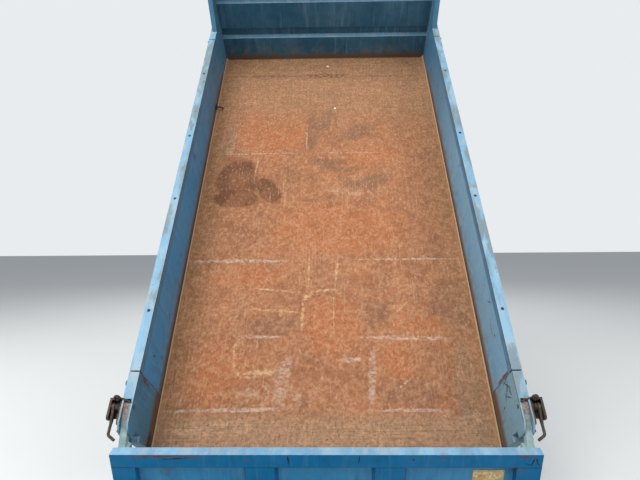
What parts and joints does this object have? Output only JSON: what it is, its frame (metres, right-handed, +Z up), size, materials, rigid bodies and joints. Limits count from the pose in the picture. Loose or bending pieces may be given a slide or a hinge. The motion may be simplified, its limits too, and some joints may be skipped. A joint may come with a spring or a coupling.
{
  "type": "dump truck tipping body",
  "caption": "Steel tipping load bed, raised, with drop sides, headboard and a top-hung tailgate that hangs part open, hinged on its own sub-frame and lifted by a roller-arm hoist.",
  "frame": {"origin": "underside of the rear cross-member, below the middle of the tip hinge", "axes": "+X to the right, +Y forward towards the cab, +Z up"},
  "size_m": [1.802, 3.3133, 3.1006],
  "materials": {
    "frame_black": "satin black chassis paint, dusty",
    "bed_blue": "blue paint, faded and scratched",
    "gate_blue": "blue paint, bleached on top faces",
    "floor_rust": "bare steel with worn brown rust",
    "latch_brown": "dark steel, greasy and rusted",
    "arm_grey": "pale grey-green paint, worn",
    "hoist_black": "black paint, greasy",
    "rod_steel": "ground steel"
  },
  "bodies": {
    "subframe": {"subframe_rail_right": "frame_black", "subframe_rail_left": "frame_black", "subframe_crossmembers": "frame_black", "foot_plates": "frame_black", "hinge_brackets": "frame_black", "hoist_mounts": "frame_black", "oil_tank": "frame_black", "body_prop": "frame_black"},
    "bed": {"bed_floor": "floor_rust", "bed_crossmembers": "bed_blue", "bed_long_sills": "bed_blue", "bed_side_sills": "bed_blue", "bed_end_sills": "bed_blue", "bed_hinge_lugs": "frame_black", "bed_hinge_pins": "hoist_black", "roller_tracks": "arm_grey", "headboard_panel": "bed_blue", "headboard_top_rail": "bed_blue", "headboard_ribs": "bed_blue", "front_post_right": "bed_blue", "front_post_left": "bed_blue", "rear_post_right": "bed_blue", "rear_post_left": "bed_blue", "post_catches": "latch_brown", "rope_hooks": "bed_blue", "side_hinge_brackets": "bed_blue"},
    "tailgate": {"tailgate_rails": "gate_blue", "tailgate_panel": "gate_blue", "tailgate_ribs": "gate_blue", "tailgate_arms": "arm_grey", "tailgate_lock_pins": "arm_grey"},
    "tailgate_lock": {"lock_shaft": "arm_grey", "lock_hooks": "arm_grey"},
    "drop_side_right": {"side_top_rail_right": "gate_blue", "side_panel_right": "gate_blue", "side_ribs_right": "gate_blue", "side_hinges_right": "gate_blue"},
    "drop_side_left": {"side_top_rail_left": "gate_blue", "side_panel_left": "gate_blue", "side_ribs_left": "gate_blue", "side_hinges_left": "gate_blue"},
    "lift_arm": {"lift_arm_plates": "hoist_black", "lift_arm_rollers": "hoist_black"},
    "hoist_barrel": {"hoist_barrel": "hoist_black"},
    "hoist_rod": {"hoist_rod": "rod_steel"}
  },
  "joints": [
    {"name": "bed_tip", "type": "hinge", "parent": "subframe", "child": "bed", "pos_m": [0, 0, 0.185], "axis": [1, 0, 0], "range_deg": [-54, 0]},
    {"name": "tailgate_swing", "type": "hinge", "parent": "bed", "child": "tailgate", "pos_m": [0, -0.30017, 0.44387], "axis": [-1, 0, 0], "range_deg": [-36, 64]},
    {"name": "tailgate_lock_turn", "type": "hinge", "parent": "bed", "child": "tailgate_lock", "pos_m": [0, -0.07167, 0.16291], "axis": [-1, 0, 0], "range_deg": [0, 50]},
    {"name": "drop_side_right_fold", "type": "hinge", "parent": "bed", "child": "drop_side_right", "pos_m": [0.86, 0.70668, 1.27845], "axis": [0, 0.5878, 0.809], "range_deg": [0, 175]},
    {"name": "drop_side_left_fold", "type": "hinge", "parent": "bed", "child": "drop_side_left", "pos_m": [-0.86, 0.70668, 1.27845], "axis": [0, -0.5878, -0.809], "range_deg": [0, 175]},
    {"name": "lift_arm_turn", "type": "hinge", "parent": "subframe", "child": "lift_arm", "pos_m": [0, 0.75, 0.08], "axis": [1, 0, 0], "range_deg": [-102.79, 0.01]},
    {"name": "barrel_swing", "type": "hinge", "parent": "subframe", "child": "hoist_barrel", "pos_m": [0, 1.65, 0.1], "axis": [1, 0, 0], "range_deg": [-4.71, 0.01]},
    {"name": "rod_slide", "type": "slide", "parent": "hoist_barrel", "child": "hoist_rod", "axis": [0, -1, 0.0087], "range_m": [-0.1543, 0.0001]}
  ],
  "couplings": [
    {"joint": "lift_arm_turn", "follows": "bed_tip", "ratio": 1.9033},
    {"joint": "barrel_swing", "follows": "bed_tip", "ratio": 0.087081},
    {"joint": "rod_slide", "follows": "bed_tip", "m_per_rad": 0.16362}
  ]
}
